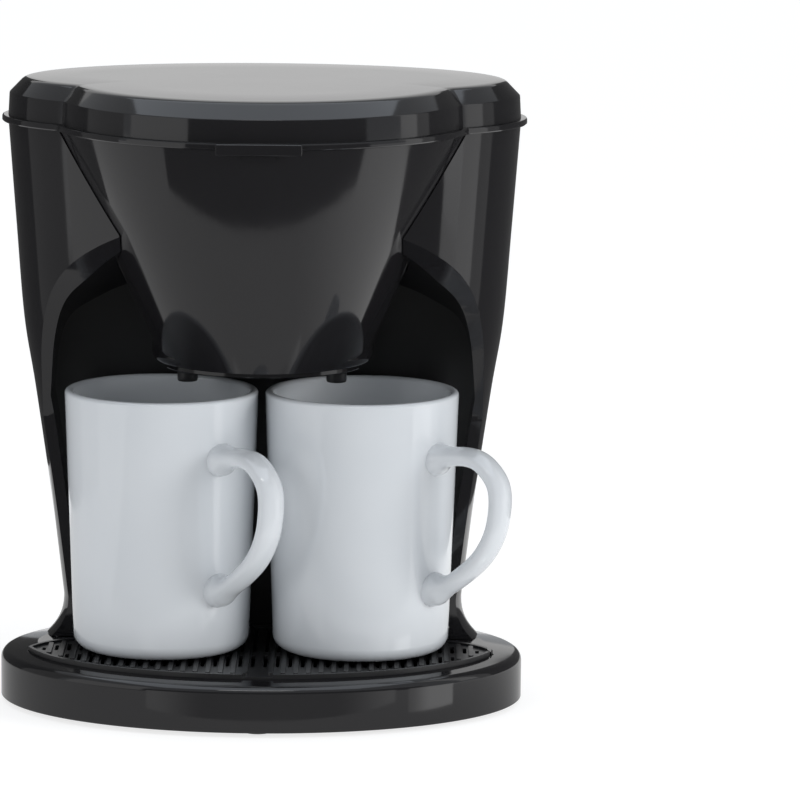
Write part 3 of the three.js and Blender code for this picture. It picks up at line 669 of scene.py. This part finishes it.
cone_gap, cone_gap_inside, cone_gap_rear, cutout_gap = 0.5 * mm, 0.8 * mm, 0.3 * mm, 0.3 * mm
room_rear = cone_rear + cone_gap_rear
rows = [body_low.z, *heights(body_low.z + 1.5 * mm, flare_top, 1.7 * mm)]
rows += heights(flare_top + 3 * mm, body_high.z, 4 * mm)
hollow_levels = [(z, wall) for z in (body_low.z - mm, *rows[2:], body_high.z + mm)]
hollow = solid(stack(body_corners, hollow_levels, on_body), "hollow")
work(hollow, "DIFFERENCE", cone_tool(cone_gap_inside + wall, room_rear + wall))
work(hollow, "DIFFERENCE", bay_tool(wall), lean_tool(wall))
body = solid(stack(body_corners, [(z, 0) for z in rows], on_body), "body")
work(body, "DIFFERENCE", cone_tool(cone_gap, room_rear), bay_tool(0), lean_tool(0), hollow)

hinge_low, hinge_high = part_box("hinge_bracket")
hinge_gap, switch_flange, behind = 3 * mm, 2.1 * mm, 90 * mm
switch_low, switch_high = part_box("switch_housing")
work(
    body, "DIFFERENCE",
    brick(hinge_low.x - hinge_gap, hinge_high.x + hinge_gap, hinge_low.y - 2 * mm, 94 * mm,
          hinge_low.z - cutout_gap, room_high),
    brick(switch_low.x - cutout_gap, switch_high.x + cutout_gap, switch_high.y - 2 * mm, behind,
          switch_low.z - cutout_gap, switch_high.z + cutout_gap),
    brick(switch_low.x + switch_flange, switch_high.x - switch_flange, 60 * mm, behind,
          switch_low.z + switch_flange, switch_high.z - switch_flange),
)
dress(body, "body_housing", gloss_black, rounding=0.5 * mm)
body.data.materials.append(satin_black)
# The rear wall of the mug bay is left satin by the mould.
for face in body.data.polygons:
    if abs(face.center.y - bay_rear) < mm and abs(face.normal.y) > 0.8:
        face.material_index = 1
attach(body, "machine")
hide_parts("body_shell")


# --------------------------------------------------------------------------------- brewing cone and nozzles
# The brewing cone is a polished black moulding that hangs between the side walls. Its foot swells into
# an oval outlet block, and two short nozzles under it let the coffee down into the mugs.
outlet_low, outlet_half, outlet_depth = 144.5 * mm, 46.6 * mm, 40.3 * mm
skirt_in, skirt_drop, skirt_chamfer = 5.2 * mm, 2.5 * mm, 0.4 * mm
outlet_round, outlet_in = 4 * mm, 3.4 * mm
skirt_low = outlet_low - skirt_drop
outlet_levels = [
    (skirt_low, skirt_in + skirt_chamfer), (skirt_low + skirt_chamfer, skirt_in), (outlet_low, skirt_in),
]
for turn in quarter_turn(8):
    outlet_levels.append((outlet_low + outlet_round * (1 - cos(turn)), outlet_in * (1 - sin(turn))))
outlet_levels += [
    (outlet_low + 7 * mm, 0), (outlet_low + 9.5 * mm, 0.2 * mm), (outlet_low + 13 * mm, 1.6 * mm),
]
outlet_oval = oval(cone_corners, (0, cone_y), outlet_half, outlet_depth)
outlet = solid(stack(cone_corners, outlet_levels, outlet_oval), "outlet")
cone = cone_tool(0, cone_rear, outlet_low + 0.4 * mm, body_high.z)

latch_half, latch_deep, latch_tall, latch_low = 6.9 * mm, 3.6 * mm, 2.6 * mm, 238.4 * mm
latch_face = cone_y - cone_radius(latch_low + latch_tall) - 0.9 * mm
latch = brick(
    -latch_half, latch_half, latch_face, latch_face + latch_deep, latch_low, latch_low + latch_tall
)
seam_deep, seam_half, seam_low, seam_long, seam_lean = 0.8 * mm, 0.8 * mm, 152 * mm, 115 * mm, 0.37
seam = brick(-95 * mm, 95 * mm, -seam_half, seam_half, 0, seam_long)
seam.data.transform(Matrix.Translation((0, cone_y, seam_low)) @ Matrix.Rotation(seam_lean, 4, "X"))
work(seam, "DIFFERENCE", cone_tool(-seam_deep, 40 * mm, 100 * mm, 260 * mm))
work(outlet, "DIFFERENCE", brick(-60 * mm, 60 * mm, cone_rear, 60 * mm, 130 * mm, 170 * mm))
work(cone, "DIFFERENCE", seam)
work(cone, "UNION", outlet, latch)
cone_floor = 149 * mm
work(cone, "DIFFERENCE", cone_tool(-wall, cone_rear - wall, cone_floor, room_high))
drain_x, drain_y, drain_bore = 31.1 * mm, -13 * mm, 2.1 * mm
for side in (-1, 1):
    drain_profile = [(drain_bore, 120 * mm), (drain_bore, 160 * mm)]
    work(cone, "DIFFERENCE", turned("drain", (side * drain_x, drain_y), drain_profile, 32))
dress(cone, "brewing_cone", gloss_black, rounding=0.25 * mm)
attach(cone, "machine")
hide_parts("filter_cone")

spout_bore = 2.0 * mm
for node in ("nozzle_left", "nozzle_right"):
    low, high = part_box(node)
    radius = (high.x - low.x) / 2
    nozzle = turned(
        "nozzle", ((low.x + high.x) / 2, (low.y + high.y) / 2),
        [
            (spout_bore, high.z - 0.4 * mm), (spout_bore + 0.1 * mm, low.z + 0.3 * mm),
            (spout_bore + 0.3 * mm, low.z + 0.1 * mm), (spout_bore + 0.6 * mm, low.z),
            (radius - 0.8 * mm, low.z), (radius - 0.3 * mm, low.z + 0.15 * mm),
            (radius - 0.05 * mm, low.z + 0.6 * mm), (radius, low.z + 1.2 * mm),
            (radius, high.z - 0.1 * mm), (radius - 0.1 * mm, high.z), (spout_bore + 0.4 * mm, high.z),
        ],
    )
    dress(nozzle, node + "_tip", satin_black)
    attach(nozzle, "machine")
    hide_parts(node)


# ------------------------------------------------------------------------------------------------ lid
# The lid is a polished black moulding in two lobes: a broad one over the body and a round nose over the
# cone. A lip runs round its foot and a flat bevel round its top. A finger tab hangs at the front.
lid_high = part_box("lid_shell")[1]
lid_gap = 0.3 * mm
lid_floor = body_high.z + lid_gap
lobe = (110.3 * mm, 66 * mm, 70 * mm, 18 * mm)
nose = (89 * mm, 89 * mm, 77 * mm, cone_y)
nose_steps, lobe_steps = 120, 168


def reach(turn, shape, inset):
    """How far an oval reaches from the nose's centre in one direction, measured from the front."""
    half, front, back, middle = shape
    half, front, back = half - inset, front - inset, back - inset
    across, along, shift = sin(turn), -cos(turn), cone_y - middle
    for depth in (front, back):
        a = (across / half) ** 2 + (along / depth) ** 2
        b = shift * along / depth**2
        c = (shift / depth) ** 2 - 1
        far = (-b + sqrt(b * b - a * c)) / a
        if (shift + far * along < 0) == (depth == front):
            break
    return far


def lid_outline(inset):
    """The two lobes' joint outline, with a corner exactly where they meet on each side."""
    low, high = radians(30), radians(120)
    for _ in range(40):
        middle = (low + high) / 2
        if reach(middle, nose, inset) > reach(middle, lobe, inset):
            low = middle
        else:
            high = middle
    turns = [-low + 2 * low * step / nose_steps for step in range(nose_steps)]
    turns += [low + (2 * pi - 2 * low) * step / lobe_steps for step in range(lobe_steps)]
    points = []
    for turn in turns:
        far = max(reach(turn, nose, inset), reach(turn, lobe, inset))
        points.append(Vector((far * sin(turn), cone_y - far * cos(turn), 0)))
    return points


lid_rings = {}


def on_lid(seat, level):
    """A place on the lid's outline. A level is its height and how far the outline is drawn in."""
    height, inset = level
    if inset not in lid_rings:
        lid_rings[inset] = lid_outline(inset)
    return lid_rings[inset][seat] + Vector((0, 0, height))


lip, lip_step, lip_chamfer, band, bevel_in = 2.7 * mm, 2.6 * mm, 0.5 * mm, 12.1 * mm, 9.8 * mm
lid_inside, lid_slope = 5.8 * mm, 6.4 * mm
crown, crown_start, crown_end = 0.5 * mm, 20 * mm, 34 * mm
top_edge, lip_top, band_top = lid_high.z - crown, lid_floor + lip, lid_floor + band
lid_levels = [
    (top_edge - wall, lid_inside + lid_slope), (band_top - 1.4 * mm, lid_inside),
    (lid_floor, lid_inside), (lid_floor, lip_chamfer), (lid_floor + lip_chamfer, 0),
    (lip_top - 0.7 * mm, 0), (lip_top - 0.2 * mm, 0.2 * mm), (lip_top, 0.7 * mm),
    (lip_top, lip_step), (band_top - 0.3 * mm, lip_step + 0.5 * mm),
    (band_top + 0.15 * mm, lip_step + 0.75 * mm), (top_edge - 1.2 * mm, bevel_in - 1.4 * mm),
    (top_edge - 0.6 * mm, bevel_in - 0.5 * mm), (top_edge - 0.25 * mm, bevel_in + 0.6 * mm),
    (top_edge - 0.05 * mm, bevel_in + 2.0 * mm), (top_edge + 0.02 * mm, bevel_in + 3.6 * mm),
    (top_edge + 0.4 * crown, crown_start), (top_edge + crown, crown_end),
]
lid = solid(stack(nose_steps + lobe_steps, lid_levels, on_lid), "lid")
tab_half, tab_thick, tab_drop, tab_round = 17.5 * mm, 2.9 * mm, 2 * mm, 0.6 * mm
tab_front = cone_y - nose[0] - mm
tab = brick(
    -tab_half, tab_half, tab_front, tab_front + tab_thick, lid_floor - tab_drop, lip_top, tab_round
)
hinge_y, hinge_z = 84 * mm, 246.2 * mm
recess_front, recess_half, recess_top = hinge_y - 4.4 * mm, 41 * mm, hinge_z + 5.4 * mm
work(lid, "DIFFERENCE", brick(-recess_half, recess_half, recess_front, 95 * mm, 240 * mm, recess_top))
work(
    lid, "UNION", tab,
    brick(-recess_half - 2 * mm, recess_half + 2 * mm, recess_front - wall, recess_front,
          lid_floor + 0.4 * mm, recess_top + wall),
)


def rod_along_x(x0, x1, y, z, radius, count=48):
    """A round bar along X."""
    def place(seat, x):
        turn = 2 * pi * seat / count
        return Vector((x, y + radius * cos(turn), z + radius * sin(turn)))

    return solid(stack(count, [x0, x1], place), "bar")


knuckle_half, knuckle_radius, pin_room = 30 * mm, 3.4 * mm, 1.8 * mm
web_low, web_high = hinge_z - 1.2 * mm, hinge_z + 1.6 * mm
knuckle = rod_along_x(-knuckle_half, knuckle_half, hinge_y, hinge_z, knuckle_radius)
web = brick(-knuckle_half, knuckle_half, recess_front - 0.6 * mm, hinge_y, web_low, web_high)
work(knuckle, "UNION", web)
pin_hole = rod_along_x(-2 * knuckle_half, 2 * knuckle_half, hinge_y, hinge_z, pin_room)
work(knuckle, "DIFFERENCE", pin_hole)
work(lid, "UNION", knuckle)
dress(lid, "lid_cover", gloss_black, crease=28, rounding=0.25 * mm)
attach(lid, "lid")
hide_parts("lid_shell")


# ---------------------------------------------------------------------------------------------- mugs
# Two straight stoneware mugs, dipped in a thick white glaze. The handle is pulled as an oval strap and
# its ends flow into the wall. They stand loose on the grille.
def glaze(name):
    """A white glaze over stoneware: faint pooling of colour, and slow waves in its gloss."""
    material = bpy.data.materials.new(name)
    material.use_nodes = True
    nodes, links = material.node_tree.nodes, material.node_tree.links
    shader = nodes["Principled BSDF"]
    shader.inputs["IOR"].default_value = 1.5
    shader.inputs["Coat Weight"].default_value = 0.3
    shader.inputs["Coat Roughness"].default_value = 0.03
    spot = nodes.new("ShaderNodeTexCoord")
    pool = nodes.new("ShaderNodeTexNoise")
    pool.inputs["Scale"].default_value = 35.0
    pool.inputs["Detail"].default_value = 3
    tint = nodes.new("ShaderNodeMixRGB")
    tint.inputs["Color1"].default_value = (0.62, 0.65, 0.68, 1)
    tint.inputs["Color2"].default_value = (0.66, 0.685, 0.71, 1)
    polish = nodes.new("ShaderNodeMapRange")
    polish.inputs["To Min"].default_value = 0.06
    polish.inputs["To Max"].default_value = 0.16
    bump = nodes.new("ShaderNodeBump")
    bump.inputs["Strength"].default_value = 1.0
    bump.inputs["Distance"].default_value = 0.06 * mm
    links.new(spot.outputs["Object"], pool.inputs["Vector"])
    links.new(pool.outputs["Fac"], tint.inputs["Fac"])
    links.new(tint.outputs["Color"], shader.inputs["Base Color"])
    links.new(pool.outputs["Fac"], polish.inputs["Value"])
    links.new(polish.outputs["Result"], shader.inputs["Roughness"])
    links.new(pool.outputs["Fac"], bump.inputs["Height"])
    links.new(bump.outputs["Normal"], shader.inputs["Normal"])
    return material


white_glaze = glaze("white_glaze")
mug_low, mug_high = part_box("mug_left")
mug_radius, mug_foot, mug_wall, mug_floor_thick = 40.5 * mm, 37 * mm, 3.6 * mm, 6 * mm
mug_x, mug_y = 41.9 * mm, -13 * mm
mug_base, mug_rim = mug_low.z, mug_high.z
foot_round, lip_round, inner_round = 6 * mm, 1.7 * mm, 8 * mm
mug_inside, inner_low = mug_radius - mug_wall, mug_base + mug_floor_thick
straight_low, straight_high = mug_base + foot_round, mug_rim - lip_round


def mug_profile():
    """The mug's outline from the middle of its foot, up the outside, over the rim and down inside."""
    profile = [(4 * mm, mug_base + 1.2 * mm), (27.4 * mm, mug_base + 1.2 * mm), (28.2 * mm, mug_base)]
    for turn in quarter_turn(8):
        radius = mug_foot - foot_round * (1 - sin(turn))
        profile.append((radius, mug_base + foot_round * (1 - cos(turn))))
    for step in range(1, 13):
        share = step / 12
        radius = mug_foot + (mug_radius - mug_foot) * share
        profile.append((radius, straight_low + (straight_high - straight_low) * share))
    for step in range(1, 10):
        turn, middle = step / 9 * pi, mug_radius - mug_wall / 2
        profile.append((middle + mug_wall / 2 * cos(turn), straight_high + lip_round * sin(turn)))
    for step in range(1, 11):
        share = step / 10
        radius = mug_inside - (mug_radius - mug_foot) * share * 0.9
        profile.append((radius, straight_high + (inner_low + inner_round - straight_high) * share))
    for turn in quarter_turn(6)[1:]:
        inner = radius - inner_round * (1 - cos(turn))
        profile.append((inner, inner_low + inner_round * (1 - sin(turn))))
    return profile + [(4 * mm, inner_low)]


strap_wide, strap_thick, strap_corners = 6.1 * mm, 4.0 * mm, 40
swell_wide, swell_thick, swell_long = 1.2 * mm, 3.0 * mm, 8 * mm
handle_out = mug_radius + 31.3 * mm
spine = through(
    [
        (mug_radius - 3.2 * mm, 0.768), (mug_radius + 4 * mm, 0.785), (mug_radius + 14 * mm, 0.795),
        (handle_out - 9 * mm, 0.778), (handle_out - 1.8 * mm, 0.715), (handle_out, 0.635),
        (handle_out - 2.2 * mm, 0.52), (handle_out - 9 * mm, 0.415), (mug_radius + 11 * mm, 0.325),
        (mug_radius + 3 * mm, 0.283), (mug_radius - 4.5 * mm, 0.262),
    ],
    6,
)
spine = [Vector((x, 0, mug_base + share * (mug_rim - mug_base))) for x, share in spine]


def on_handle(seat, number):
    """A ring of the strap, square to its spine and swelling towards the wall at both ends."""
    before, after = spine[max(number - 1, 0)], spine[min(number + 1, len(spine) - 1)]
    out = Vector((0, 1, 0)).cross((after - before).normalized())
    swell = max(0, 1 - max(0, spine[number].x - mug_radius) / swell_long) ** 2
    turn = 2 * pi * seat / strap_corners
    wide = (strap_wide + swell_wide * swell) * cos(turn)
    thick = (strap_thick + swell_thick * swell) * sin(turn)
    return spine[number] + Vector((0, wide, 0)) + out * thick


for node, side, turned_by in (("mug_left", -1, 49), ("mug_right", 1, 37)):
    mug = turned("mug", (0, 0), mug_profile(), 160)
    strap = solid(stack(strap_corners, range(len(spine)), on_handle), "strap")
    bore_profile = [(mug_foot - 3 * mm, mug_base + 3 * mm), (mug_inside + 1.2 * mm, mug_rim)]
    work(strap, "DIFFERENCE", turned("bore", (0, 0), bore_profile, 160))
    work(mug, "UNION", strap)
    stand = Matrix.Translation((side * mug_x, mug_y, 0)) @ Matrix.Rotation(radians(-turned_by), 4, "Z")
    mug.data.transform(stand)
    dress(mug, node + "_glazed", white_glaze, crease=50)
    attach(mug, node.split("_")[1] + "_mug")
    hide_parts(node)


# ------------------------------------------------------------------------------------------ inner workings
# Pieces inside the housings keep their own shapes. Each gets the finish of what it is made of.
inner_grey = plastic("inner_grey", (0.05, 0.05, 0.052), (0.4, 0.55), 700.0, 0.03 * mm)
silicone = plastic("silicone", (0.62, 0.6, 0.55), (0.35, 0.5), 400.0, 0.02 * mm)
phenolic = plastic("phenolic", (0.045, 0.024, 0.015), (0.45, 0.6), 1200.0, 0.05 * mm)
aluminium = metal("cast_aluminium", (0.7, 0.71, 0.72), (0.3, 0.5), 500.0, (1, 0.3, 1))

for material, nodes in (
    (inner_grey, ("filter_basket", "water_tank")),
    (satin_black, ("lid_liner", "hinge_bracket", "outlet_arm", "switch_housing", "switch_rocker")),
    (silicone, ("check_valve", "inlet_hose", "riser_tube")),
    (rubber, ("riser_seal", "cord_gland")),
    (aluminium, ("heater_tube",)),
    (steel, ("hinge_pin", "heater_clamp", "thermal_fuse")),
    (phenolic, ("thermostat", "terminal_block")),
):
    for node in nodes:
        coat(node, material)
